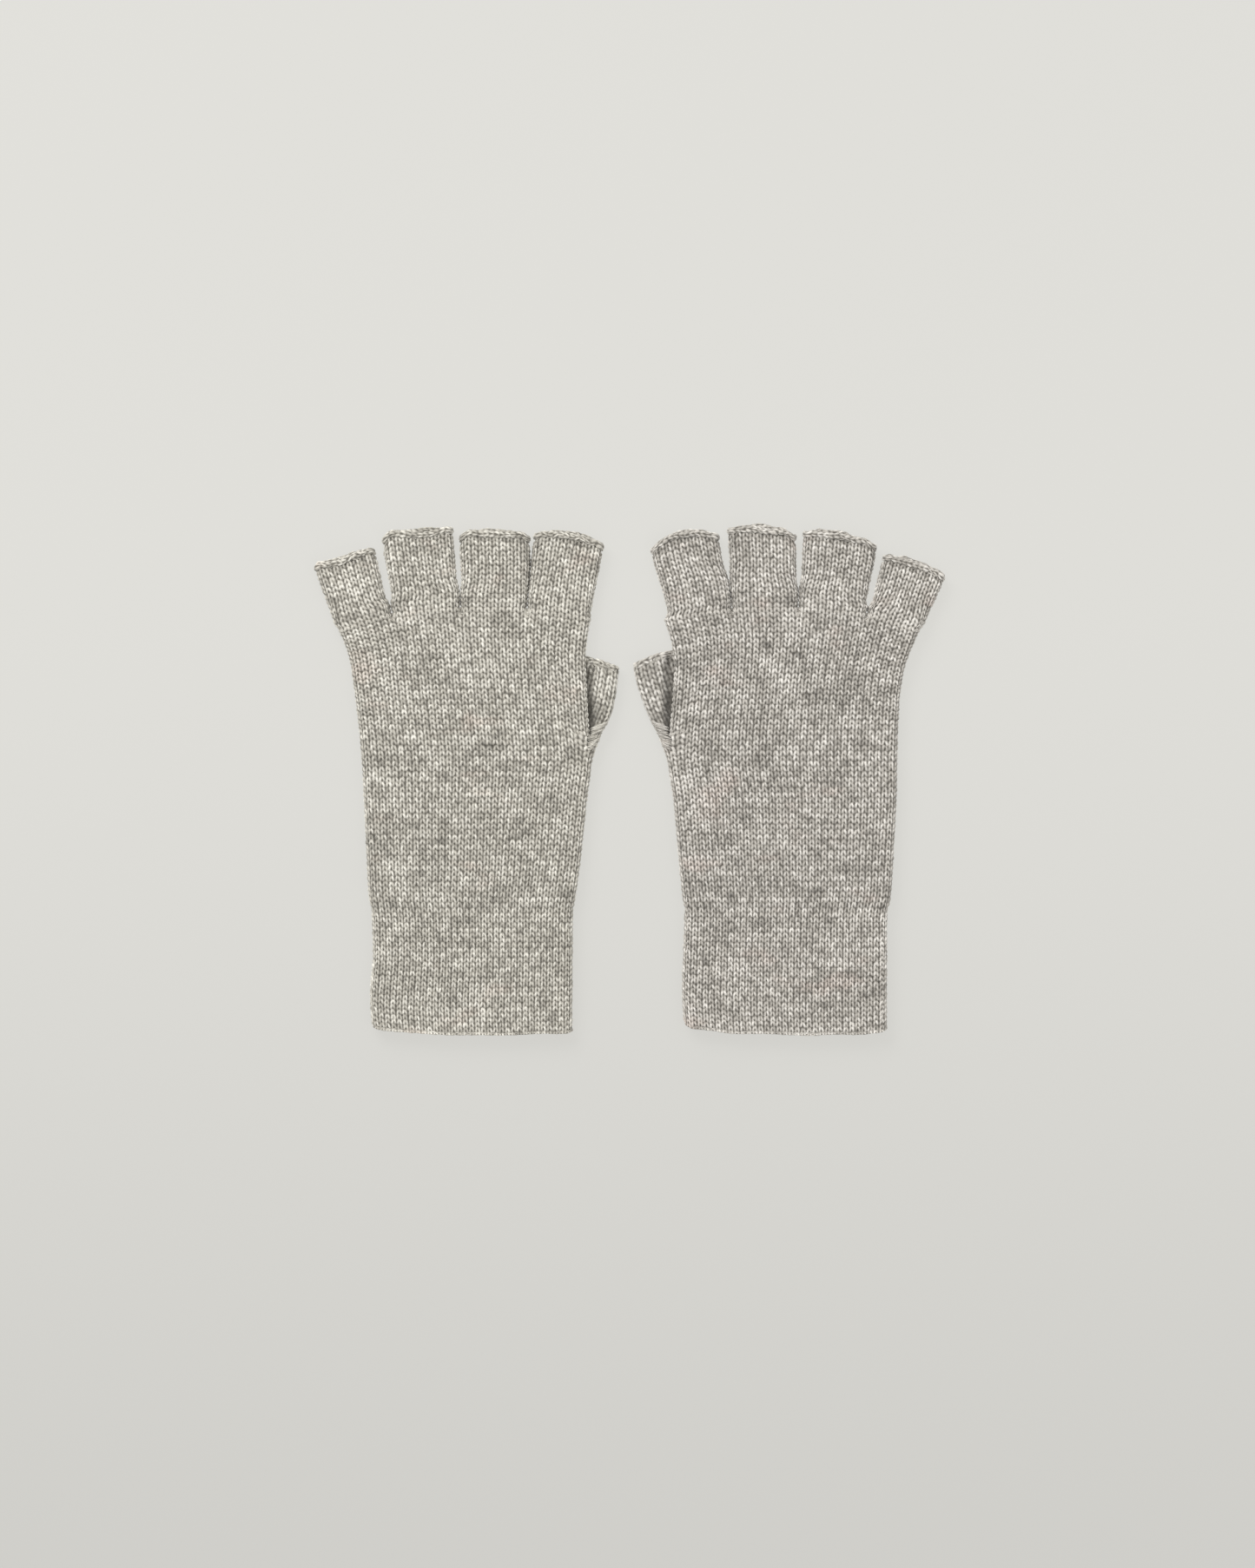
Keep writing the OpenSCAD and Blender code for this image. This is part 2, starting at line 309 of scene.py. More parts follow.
THUMB_EDGE_UP = 15  # mm above the thumb's fork, where the hand's edge is taken for the thumb's thickness
THUMB_SLOPE = (0.8, 4.6)  # mm beside that edge, where the thumb starts to thicken and where it is thick
GROOVE_RUN = 5  # mm, how far below the seam the groove beside the thumb starts
GROOVE_DEPTH = 0.95  # depth of the hand's shoulder there, against half the glove's thickness
FLARE = 6.0  # mm, how far the hand widens into the thumb
FLARE_Y = (SPLIT_Y - 18, SPLIT_Y + 1)  # mm, where it starts to widen and where it is widest
FLARE_REACH = 5  # mm, how far in from the rounded side it widens
EDGE_CALM = 12  # mm, how far in from the sides the slow waves reach their full height
LEAST_HALF = 0.3  # mm, least half-thickness of a layer's surface
LITTLE_AT = (-50.0, -60.0)  # mm, where the lower and the upper line meet the little finger's side
THUMB_AT = (50.0, 54.0)  # mm, the same on the thumb's side


def thumb_height(side, x):
    """How thick the thumb is, thin under the hand and thicker beside it."""
    edge = thumb_side[side](SPLIT_Y + THUMB_EDGE_UP)
    return mix(THUMB_UNDER_Z, THUMB_FREE_Z, smooth(edge + THUMB_SLOPE[0], edge + THUMB_SLOPE[1], x))


def thumb_groove(side, x, y):
    """How far the top of the hand sinks where the thumb's fork begins."""
    edge = thumb_side[side](SPLIT_Y)
    shoulder = quarter((edge - x) / FOLD) * R * GROOVE_DEPTH
    beside = GLOVE_Z - thumb_height(side, x)
    start = seam_y(side, x)
    return np.where(x < edge, shoulder, beside) * smooth(start - GROOVE_RUN, start, y)


def flare(y):
    """How far the hand widens into the thumb, just under the seam."""
    return FLARE * smooth(*FLARE_Y, y)


def hand_surface(side, lower, upper, part):
    """The hand or cuff between two lines across it, as base(q, s, inset) for q round it and s up it."""
    def base(q, s, inset):
        little_at = mix(lower(LITTLE_AT[0]), upper(LITTLE_AT[1]), s)
        thumb_at = mix(lower(THUMB_AT[0]), upper(THUMB_AT[1]), s)
        lo, hi = FOLD - little_side[side](little_at), thumb_side[side](thumb_at) - FOLD
        x, z = ring(q, lo, hi, FOLD - inset)
        y = mix(lower(x), upper(x), s)
        low = lift(x, y) if part == "upper" else 0 * x
        top = GLOVE_Z + puff(side, x, y) * smooth(0, EDGE_CALM, np.minimum(x - lo, hi - x) + FOLD)
        if part == "lower":
            x = x + flare(y) * np.clip((x - hi + FLARE_REACH) / (FOLD + FLARE_REACH), 0, 1)
            top = top - thumb_groove(side, x, y)
        if part == "upper":
            top = top - dimple(side, x, y)
            z = z * (1 - fork_pinch(side, x, y))
        half = (top - low) / 2
        return np.stack([x, y, (top + low) / 2 + z * np.maximum(half - inset, LEAST_HALF)], -1)
    return base


# Each stall's own shape against the CAD stall, in mm: how much further its tip reaches on the little finger's
# side and on the thumb's side, its extra length, how much higher its tip stands on the thumb's side, how much
# its tip arches, and how far its corners drop on the little finger's side and on the thumb's side
TIPS = {
    ("left", "little"): (0.9, 1.9, 2.2, 0.0, 0.3, 1.0, 2.0),
    ("left", "ring"): (2.4, 0.3, 1.8, -0.3, 0.5, 7.0, 1.0),
    ("left", "middle"): (1.7, 1.8, -1.0, -0.3, 2.2, 3.4, 1.8),
    ("left", "index"): (2.3, 1.3, 1.9, -0.4, 2.9, 0.8, 1.2),
    ("right", "little"): (2.5, 1.4, 0.2, 0.0, 1.8, 1.6, 0.5),
    ("right", "ring"): (2.8, 1.2, 0.7, 1.2, 2.9, 0.5, 0.0),
    ("right", "middle"): (0.4, 2.2, 0.8, 1.5, 2.8, 2.2, 0.0),
    ("right", "index"): (-0.1, 3.4, 2.9, 0.2, 4.4, 1.0, 1.2),
}
PRESS = 0.3  # mm, how far each of two stalls that touch reaches into the other's stitches
PRESS_RUN = 2  # mm above the root line, where they press that far
CORNER = 5.5  # mm, how far in from its sides a tip's corners are rounded
# How far neighbouring stalls touch, in mm above their fork, from the little finger's side to the thumb's
TOUCHING = {"left": (6, 10, 26), "right": (5, 12, 17)}
PARTING = (0.75, 1.5)  # where touching stalls start to part and where each has its own side, against that
ROOT_RUN = 4  # mm above the root line, where a stall has left the hand's columns
# How far the upper layer of a tip sags in its middle, in mm, and how quickly that falls off towards its sides
TIP_DIP = {"little": 1.3, "ring": 1.7, "middle": 1.5, "index": 1.1}
DIP_SHARP = 1.25
LINK = 2.7  # mm, length of a chain stitch in a bound edge
EDGE_R = (1.15, 1.8)  # mm, half the thickness and half the height of a finger's bound edge
THUMB_EDGE_R = (0.9, 1.95)
CUFF_EDGE_R = (0.8, 0.9)


def stall_sides(side, finger, v):
    """Half-widths of a finger's stall at v, towards the little finger and towards the thumb."""
    s, i = STALLS[side, finger], FINGERS.index(finger)
    t = smooth(0, s.length, v)
    sides = []
    for step, reach in ((-1, TIPS[side, finger][0]), (1, TIPS[side, finger][1])):
        own, root, beside = s.half + reach * t, s.local(ROOTS[side][i + (step > 0)]), i + step
        if 0 <= beside < len(FINGERS):
            # beside another finger it bulges until the two touch, over the first part of its length
            slope = abs(s.u @ STALLS[side, FINGERS[beside]].v) / 2
            shared = step * root[0] + slope * (v - root[1]) + PRESS * smooth(0, PRESS_RUN, v)
            touch = TOUCHING[side][min(i, beside)]
            parted = smooth(PARTING[0] * touch, PARTING[1] * touch, v)
            own = mix(own, np.maximum(own, shared), 1 - parted)
        sides.append(mix(own, step * root[0], 1 - smooth(0, ROOT_RUN, v)))
    return sides


def tip_v(side, finger, u, z):
    """Where a stall ends at u across it, on its upper layer (z = 1) or its lower one (z = -1)."""
    s = STALLS[side, finger]
    low, high, extra, tilt, arch, low_drop, high_drop = TIPS[side, finger]
    t = u / s.half
    dip = TIP_DIP[finger] * np.clip(1 - (DIP_SHARP * t) ** 2, 0, 1) * (z + 1) / 2
    low_near = np.clip((-u - s.half - low + CORNER) / CORNER, 0, 1)
    high_near = np.clip((u - s.half - high + CORNER) / CORNER, 0, 1)
    drop = low_drop * (1 - np.sqrt(1 - low_near ** 2)) + high_drop * (1 - np.sqrt(1 - high_near ** 2))
    return s.length + extra + tilt * t - arch * t ** 2 - drop - dip


HAND_LIKE = 0.6  # of a stall's length, over which its columns pass from the hand's width to its own
THIN_RUN = 12  # mm above the root line, over which it thins from the hand's thickness to its own
CALM_RUN = 10  # mm above the root line, over which the hand's slow waves die out


def stall_surface(side, finger, wales, step):
    """A finger's stall as base(q, t, inset). step is the width of the hand's columns at its root."""
    s = STALLS[side, finger]
    low0, high0 = stall_sides(side, finger, 0.0)
    face, turn = low0 + high0 - 2 * FOLD, math.pi * FOLD
    sides = (wales / 2 - face / step) / 2  # how many columns go round each half of a side at the root
    columns = np.array([0, sides, wales / 2 - sides, wales / 2])
    arcs = np.array([0, turn / 2, turn / 2 + face, turn + face]) / (2 * (turn + face))

    def base(q, t, inset):
        v0 = t * (s.length - EDGE_R[1])
        low, high = stall_sides(side, finger, v0)
        # at its root, the columns on its faces are as wide as the hand's
        own = np.interp(q % 0.5 * wales, columns, arcs) + np.floor(q * 2) / 2
        u, z = ring(mix(own, q, smooth(0, HAND_LIKE, t)), FOLD - low, high - FOLD, FOLD - inset)
        foot = s.world(u, 0 * u, u)
        start = (root_y(side, foot[..., 0]) - foot[..., 1]) / s.v[1]
        v = mix(start, tip_v(side, finger, u, z) - EDGE_R[1], t)
        thick = mix(GLOVE_Z, STALL_Z, smooth(0, THIN_RUN, v))
        place = s.world(u, v, u)
        swell = puff(side, place[..., 0], place[..., 1]) * (1 - smooth(0, CALM_RUN, v))
        swell = (swell - dimple(side, place[..., 0], place[..., 1])) * (z > 0)
        return s.world(u, v, thick / 2 + z * (thick / 2 - inset) + swell * np.abs(z))
    return base


# The thumb's outer edge: its distance from the thumb's middle line, in mm, at heights above the root line
THUMB_OUTER = rounded([(-8, 10.9), (-3, 12.6), (3, 14.7), (11, 16.2), (19, 16.0), (26, 15.4), (33, 14.2)],
                      blur=2)
THUMB_EXTRA = {"left": 1.4, "right": 4.2}  # mm, how much longer than the CAD thumb each thumb is
THUMB_SPREAD = {"left": -0.8, "right": 1.6}  # mm, how much further out each thumb's tip reaches
SPREAD_V = (8, 30)  # mm above the root line, where it starts to spread and where it has spread
THUMB_DROP = (1.1, 1.6)  # mm, how far the tip's corners drop on the outer side and under the hand
THUMB_R = THUMB_UNDER_Z / 2
THUMB_KNIT = 1.1  # mm, as KNIT, for the thumb
THUMB_RELIEF = 0.6  # mm, as RELIEF, for the thumb


def thumb_outer(side, v):
    return THUMB_OUTER(v) + THUMB_SPREAD[side] * smooth(*SPREAD_V, v)


def thumb_tip(side, u):
    """Where the thumb ends at u across it."""
    s = STALLS[side, "thumb"]
    return s.length + THUMB_EXTRA[side] - np.where(u > 0, *THUMB_DROP) * np.abs(u / s.half) ** 3


def thumb_place(side, s, u, v, z, inset):
    """The thumb's surface at (u, v), on its upper layer (z = 1) or its lower one (z = -1)."""
    p = s.world(u, v, z)
    half = thumb_height(side, p[..., 0]) / 2
    p[..., 2] = half + z * (half - inset)
    return p


def thumb_surface(side):
    s = STALLS[side, "thumb"]
    start = -SEAM_DROP * s.v[1]

    def base(q, t, inset):
        high = thumb_outer(side, mix(start, s.length - THUMB_EDGE_R[1], t))
        u, z = ring(q, THUMB_R - s.half + 0 * high, high - THUMB_R, THUMB_R - inset)
        v = mix(start, thumb_tip(side, u) - THUMB_EDGE_R[1], t)
        return thumb_place(side, s, u, v, z, inset)
    return base


def normals(p):
    """Outward normals of a grid of points that closes on itself in its first direction."""
    n = np.cross(np.gradient(p, axis=1), np.roll(p, -1, 0) - np.roll(p, 1, 0))
    return n / np.maximum(np.linalg.norm(n, axis=-1, keepdims=True), 1e-9)


def dice(i, j, seed):
    """A number from 0 to 1 that is the same each time for a stitch."""
    v = np.sin(i * 12.9898 + j * 78.233 + seed * 37.719) * 43758.5453
    return v - np.floor(v)


LEG_HALF = 0.63  # mm, half the thickness of a strand
LEG_REACH = 1.50  # mm, half the length of a strand that shows
LEG_LEAN = 0.31  # sideways reach of a strand for its height
LEG_APART = 0.25  # from the middle of a stitch to each of its legs, in stitches
LEG_END = 1.1  # how far along a strand is cut off, against LEG_REACH
LEG_ROUND = 0.6  # shape of a strand across: lower is squarer
LEG_BOW = 0.85  # how far a strand falls from its middle to its ends, against its height
LEG_SLOPE = 0.14  # how far it rises from its start to its end
# How much the strands differ: across and along in mm, in lean, in thickness and in height
STRAY_X = 0.26
STRAY_Y = 0.55
STRAY_LEAN = 0.22
STRAY_PLUMP = 0.22
STRAY_RISE = 0.3


def stitches(u, v, wales, seed, wale, course, calm):
    """Height, 0 to 1, of the strands at a place in stitches, and the tone, 0 to 1, of the strand that lies
    there. Each stitch has two legs, which meet at its top. Stitches in the calm rows are all alike."""
    col, row = np.floor(u), np.floor(v + 0.5)
    best = np.zeros(np.broadcast(u, v).shape)
    tone = np.full(best.shape, 0.5)
    length = math.hypot(1, LEG_LEAN)
    for dc, leg in ((0, -1), (0, 1), (-1, 1), (1, -1)):
        for dj in (-1, 0, 1):
            i, j = 2 * np.mod(col + dc, wales) + (leg > 0), row + dj
            wild = np.where(np.isin(j, calm), 0.0, 1.0)
            x = (u - col - dc - 0.5) * wale - leg * LEG_APART * wale
            x = x + STRAY_X * wild * (dice(i, j, seed) - 0.5)
            y = (v - j) * course + STRAY_Y * wild * (dice(i, j, seed + 1) - 0.5)
            lean = -leg * LEG_LEAN + STRAY_LEAN * wild * (dice(i, j, seed + 2) - 0.5)
            plump = 1 + STRAY_PLUMP * wild * (dice(i, j, seed + 5) - 0.5)
            along = (x * lean + y) / length / (LEG_REACH * course / COURSE)
            across = (x - y * lean) / length / (LEG_HALF * wale / WALE * plump)
            body = np.clip(1 - across ** 2, 0, 1) ** LEG_ROUND
            rise = np.clip(1 - LEG_BOW * np.abs(along) ** 2, 0, 1)
            rise = rise * (1 - STRAY_RISE * wild * dice(i, j, seed + 3))
            height = np.where(np.abs(along) < LEG_END, body * (rise + LEG_SLOPE * along), 0)
            tone = np.where(height > best, mix(0.5, dice(i, j, seed + 4), wild), tone)
            best = np.maximum(best, height)
    return np.clip(best, 0, 1), tone


def mesh_from(side, name, points, faces, uvs, relief, tone, bends=None):
    """A piece from points in the glove's own frame. faces is a list of index arrays, one row a face, and uvs
    the matching list of corner places in stitches. relief and tone are 0 to 1 for each point, and bends are
    the points' own normals, where they are given. relief sets how much painted shade darkens the wool there."""
    if FLIP[side] < 0:
        faces, uvs = [f[:, ::-1] for f in faces], [w[:, ::-1] for w in uvs]
    mesh = bpy.data.meshes.new(f"{side}_{name}")
    mesh.vertices.add(len(points))
    mesh.vertices.foreach_set("co", to_frame(side, points).astype(np.float32).ravel())
    loops = np.concatenate([f.ravel() for f in faces])
    sizes = np.concatenate([np.full(len(f), f.shape[1]) for f in faces])
    mesh.loops.add(len(loops))
    mesh.loops.foreach_set("vertex_index", loops.astype(np.int32))
    mesh.polygons.add(len(sizes))
    mesh.polygons.foreach_set("loop_start", (np.cumsum(sizes) - sizes).astype(np.int32))
    mesh.update(calc_edges=True)
    mesh.polygons.foreach_set("use_smooth", np.ones(len(sizes), bool))
    layer = mesh.uv_layers.new(name="stitch")
    layer.data.foreach_set("uv", np.concatenate([w.reshape(-1, 2) for w in uvs]).astype(np.float32).ravel())
    for key, values in (("relief", relief), ("tone", tone)):
        mesh.attributes.new(key, "FLOAT", "POINT").data.foreach_set("value", np.asarray(values, np.float32))
    if bends is not None:
        mesh.normals_split_custom_set_from_vertices((bends * (FLIP[side], 1, 1)).tolist())
    obj = bpy.data.objects.new(f"{side}_{name}", mesh)
    scene.collection.objects.link(obj)
    return obj


def grid_faces(n, m, start, inward=False, closed=False):
    """Quads of a grid of n round by m along, and the (i, j) of their corners. closed joins the last row to
    the first."""
    i, j = np.meshgrid(np.arange(n), np.arange(m if closed else m - 1), indexing="ij")
    corners = [(i, j), (i, j + 1), (i + 1, j + 1), (i + 1, j)]
    if inward:
        corners = corners[::-1]
    index = np.stack([start + (a % n) * m + b % m for a, b in corners], -1).reshape(-1, 4)
    return index, np.stack([np.stack(c, -1) for c in corners], -2).reshape(-1, 4, 2)


def bridge(outer, inner, top):
    """Triangles between two closed loops of points that run side by side."""
    n, m, i, j, out = len(outer), len(inner), 0, 0, []
    while i < n or j < m:
        if j >= m or (i < n and (i + 0.5) * m <= (j + 0.5) * n):
            out.append((inner[j % m], outer[i], outer[(i + 1) % n]))
            i += 1
        else:
            out.append((inner[(j + 1) % m], inner[j], outer[i % n]))
            j += 1
    out = np.array(out)
    return out[:, ::-1] if top else out


INNER_SHADE_RELIEF = 0.4  # painted shade inside: how light the inside of the knit is drawn, as the strands' relief


def knit_piece(side, name, base, wales, courses, first_course, seed, shape=None, wale=WALE, course=COURSE,
               phase=0.0, calm=(), over=(0, 0), shade=None, knit=KNIT, relief=RELIEF):
    """A closed knitted tube: its stitches outside, the back of the knit inside, and a rim at each end.
    over is how many rows of faces it runs on past its start and its end, to tuck in under the next piece.
    shade(points) is painted shade on its outside, 0 to 1."""
    n, m = wales * PER_WALE, courses * PER_COURSE + 1 + sum(over)
    u = np.arange(n)[:, None] / PER_WALE
    first_row = first_course - over[0] / PER_COURSE
    v = first_row + np.arange(-1, m + 1)[None, :] / PER_COURSE
    q, t = (u + phase) / wales, (v - first_course) / courses
    p = base(q + 0 * t, t + 0 * q, 0)
    h, tone = stitches(u, v, wales, seed, wale, course, calm)
    deepest = LEAST + PURL - knit
    depth = np.maximum(relief * (h - 1) + (shape(u, v) if shape else 0), deepest)
    outer = p + normals(p) * depth[..., None]
    outer_n = normals(outer)
    past = np.clip(np.maximum(first_course - v, v - first_course - courses) * PER_COURSE, 0, 1)
    outer = outer - normals(p) * TUCK * past[..., None]
    outer_n, outer, h, tone = (a[:, 1:-1] for a in (outer_n, outer, h, tone))
    if shade:
        h = h * shade(outer)

    per = 2  # columns of the inner layer for each stitch round it
    n2, m2 = wales * per, courses + 1
    u2, v2 = np.arange(n2)[:, None] / per, first_course + np.arange(m2)[None, :]
    q2, t2 = (u2 + phase) / wales, (v2 - first_course) / courses
    inner = base(q2 + 0 * t2, t2 + 0 * q2, knit)
    inner_n = normals(inner)
    purl = PURL * np.where((np.arange(n2)[:, None] + np.arange(m2)[None, :]) % 2, 1, -1)
    inner = inner + inner_n * purl[..., None]

    f1, c1 = grid_faces(n, m, 0)
    f2, c2 = grid_faces(n2, m2, n * m, inward=True)
    rims = [bridge(np.arange(n) * m + e1, n * m + np.arange(n2) * m2 + e2, e1 > 0)
            for e1, e2 in ((0, 0), (m - 1, m2 - 1))]
    places = np.concatenate([np.stack(np.broadcast_arrays(u, v[:, 1:-1]), -1).reshape(-1, 2),
                             np.stack(np.broadcast_arrays(u2, v2), -1).reshape(-1, 2)])
    points = np.concatenate([outer.reshape(-1, 3), inner.reshape(-1, 3)])
    uvs = [c1 / (PER_WALE, PER_COURSE) + (0, first_row), c2 / (per, 1) + (0, first_course)]
    uvs += [places[f] for f in rims]
    return mesh_from(side, name, points, [f1, f2] + rims, uvs,
                     np.concatenate([h.ravel(), np.full(n2 * m2, INNER_SHADE_RELIEF)]),
                     np.concatenate([tone.ravel(), np.full(n2 * m2, 0.5)]),
                     np.concatenate([outer_n.reshape(-1, 3), -inner_n.reshape(-1, 3)]))


def ripple(q, f, seed, most):
    """Soft waves, from about -1 to 1, on a ring: q runs 0 to 1 along it and f runs 0 to 1 round it."""
    rng = np.random.default_rng(seed)
    total = 0
    for _ in range(6):
        turns = rng.integers(2, most) * q + rng.integers(-1, 2) * f + rng.uniform(0, 1)
        total = total + np.sin(2 * math.pi * turns)
    return total / 3.5


CHAIN_TWIST = 0.10  # how far a bound edge's stitches wander round it, in turns
CHAIN_BASE = 0.62  # a bound edge's thickness between its strands, against its full one
CHAIN_SWELL = 0.12  # how much its thickness wanders


def chain(side, name, centre, up, links, seed, radii):
    """A bound edge: a closed ring of chain stitches that lie along centre(q), rising along up."""
    per_link, per_strand, columns = ((5, 8, 3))
    rows, around = links * per_link, columns * per_strand
    q = (np.arange(rows) / rows)[:, None]
    f = (np.arange(around) / around)[None, :]
    middle, up = centre(q), np.array([*up, 0.0])
    out = np.cross(up, np.roll(middle, -1, 0) - np.roll(middle, 1, 0))
    out = out / np.linalg.norm(out, axis=-1, keepdims=True)
    turn = f + CHAIN_TWIST * ripple(q, f, seed, links // 3)
    v = q * links
    # the rows past either end of the ring are the same as the first and last
    h, tone = stitches(turn * columns, v, columns, seed, WALE, COURSE, calm=(0, links))
    thick = CHAIN_BASE + (1 - CHAIN_BASE) * h + CHAIN_SWELL * ripple(q, f, seed + 1, links // 2)
    angle = 2 * math.pi * f
    p = (middle + out * (radii[0] * thick * np.cos(angle))[..., None]
         + up * (radii[1] * thick * np.sin(angle))[..., None])
    faces, corners = grid_faces(rows, around, 0, closed=True)
    uv = (corners / (per_link, per_strand))[..., ::-1]
    return mesh_from(side, name, p.reshape(-1, 3), [faces], [uv], h.ravel(), tone.ravel())


def strands_piece(side, name, paths, radius):
    """Short lengths of yarn with tapered ends, as one piece. Each path is 3 or 4 points."""
    sides, rings = 10, 17
    points, quads, caps, uv4, uv3, relief, tone = [], [], [], [], [], [], []
    for k, path in enumerate(np.array(path, float) for path in paths):
        t = np.linspace(0, 1, rings)
        fit = np.polyfit(np.linspace(0, 1, len(path)), path, len(path) - 1)
        line = sum(np.outer(t ** (len(path) - 1 - e), c) for e, c in enumerate(fit))
        ahead = np.gradient(line, axis=0)
        across = np.cross(ahead, (0, 0, 1.0))
        across /= np.maximum(np.linalg.norm(across, axis=1, keepdims=True), 1e-6)
        over = np.cross(across, ahead)
        over /= np.linalg.norm(over, axis=1, keepdims=True)
        angle = np.arange(sides) / sides * 2 * math.pi
        lay = np.abs(np.sin(math.pi * (t[:, None] * 3 + angle / math.pi)))
        r = radius * np.sqrt(np.clip(1 - (2 * t - 1) ** 4, 0.03, 1))[:, None] * (0.88 + 0.12 * lay)
        tube = (line[:, None] + across[:, None] * (r * np.cos(angle))[..., None]
                + over[:, None] * (r * np.sin(angle))[..., None])
        start = sum(len(p) for p in points)
        faces, corners = grid_faces(rings, sides, start, closed=True)
        keep = corners[..., 0].max(-1) < rings
        points += [tube.reshape(-1, 3), line[[0, -1]]]
        quads.append(faces[keep])
        corners = corners[keep]
        uv4.append(np.stack([corners[..., 1] / sides * 2 + 7 * k, corners[..., 0] / rings * 2], -1))
        for row, hub in ((0, rings * sides), (rings - 1, rings * sides + 1)):
            edge = start + row * sides + np.arange(sides)
            tri = np.stack([np.full(sides, start + hub), np.roll(edge, -1), edge], -1)
            caps.append(tri if row == 0 else tri[:, ::-1])
            uv3.append(np.zeros((sides, 3, 2)) + (7 * k, 0))
        # painted shade: the yarn is drawn darker between the turns of its twist and at its ends
        relief += [(0.25 + 0.45 * lay).ravel(), np.full(2, 0.3)]
        tone.append(np.full(rings * sides + 2, dice(k, 3, len(paths))))
    faces = [np.concatenate(quads), np.concatenate(caps)]
    return mesh_from(side, name, np.concatenate(points), faces, [np.concatenate(uv4), np.concatenate(uv3)],
                     np.concatenate(relief), np.concatenate(tone))


# ---------------------------------------------------------------- materials


class Nodes:
    """A small helper that adds shader nodes and links them."""

    def __init__(self, name):
        self.material = bpy.data.materials.new(name)
        self.material.use_nodes = True
        self.tree = self.material.node_tree
        self.bsdf = self.tree.nodes["Principled BSDF"]

    def add(self, kind, **settings):
        node = self.tree.nodes.new(kind)
        for key, value in settings.items():
            setattr(node, key, value)
        return node

    def feed(self, socket, value):
        if isinstance(value, bpy.types.NodeSocket):
            self.tree.links.new(value, socket)
        else:
            socket.default_value = value

    def math(self, op, a, b=0.0, clamp=False):
        node = self.add("ShaderNodeMath", operation=op, use_clamp=clamp)
        self.feed(node.inputs[0], a)
        self.feed(node.inputs[1], b)
        return node.outputs[0]

    def around(self, value, gain):
        """A noise value as a difference from its middle, times gain."""
        return self.math("MULTIPLY", self.math("SUBTRACT", value, 0.5), gain)

    def vector(self, x, y, z=0.0):
        node = self.add("ShaderNodeCombineXYZ")
        for socket, value in zip(node.inputs, (x, y, z)):
            self.feed(socket, value)
        return node.outputs[0]

    def noise(self, vector, scale=1.0, detail=2.0, rough=0.5):
        node = self.add("ShaderNodeTexNoise", noise_dimensions="3D")
        for key, value in (("Vector", vector), ("Scale", scale), ("Detail", detail), ("Roughness", rough)):
            self.feed(node.inputs[key], value)
        return node.outputs["Fac"]

    def between(self, value, lo, hi, to_lo=0.0, to_hi=1.0):
        node = self.add("ShaderNodeMapRange", interpolation_type="SMOOTHSTEP")
        keys = ("Value", "From Min", "From Max", "To Min", "To Max")
        for key, number in zip(keys, (value, lo, hi, to_lo, to_hi)):
            self.feed(node.inputs[key], number)
        return node.outputs["Result"]

    def mix(self, kind, factor, a, b):
        node = self.add("ShaderNodeMix", data_type="RGBA", blend_type=kind)
        colours = [s for s in node.inputs if s.type == "RGBA"]
        self.feed(node.inputs["Factor"], factor)
        self.feed(colours[0], a)
        self.feed(colours[1], b)
        return next(s for s in node.outputs if s.type == "RGBA")


def linear(colour, shade=1.0):
    """An sRGB colour, 0 to 255, as linear values with full opacity."""
    values = [c / 12.92 if c <= 0.04045 else ((c + 0.055) / 1.055) ** 2.4 for c in np.array(colour) / 255]
    return (*[c * shade for c in values], 1)


DARK_FIBRE = (140, 137, 129)
GREY_FIBRE = (204, 200, 189)
CREAM_FIBRE = (252, 249, 239)
BEIGE_FIBRE = (232, 213, 200)
RIGHT_TINT_AND_SHADE = (0.965, 0.957, 0.985)  # the right glove's colour against the left one's: partly its own tint, partly painted shade where the light falls off away from the window
RIGHT_FROM = (-0.01, 0.01)  # metres, x between the gloves, where one colour passes into the other
# How strongly each unevenness of the wool changes its colour
FIBRE_MIX = 0.6
FLECK_MIX = 0.4
RUN_MIX = 0.6
PATCH_MIX = 0.85
STRAND_MIX = 0.42
MIDDLE_TONE = 0.52  # the wool's middle place on the ramp from dark to cream
RAMP = ((0.0, DARK_FIBRE), (0.45, GREY_FIBRE), (0.85, CREAM_FIBRE))
BEIGE_MOST = 0.3  # how far the warmest patches turn beige
GROOVE_SHADE = 0.22  # brightness of the painted shade at the bottom of a groove
GROOVE_FULL = 0.85  # relief from which no painted shade darkens the wool
GROOVE_SHADE_TINT = (1.0, 1.02, 1.05)  # the painted shade in the grooves is a little warmer than the strands: red, green, blue
PATCH_SCALE = (80, 150, 80)  # patches of colour for each metre, across, along and through
COLUMN_STEP = 3.7  # sets the noise of one column of stitches apart from the next


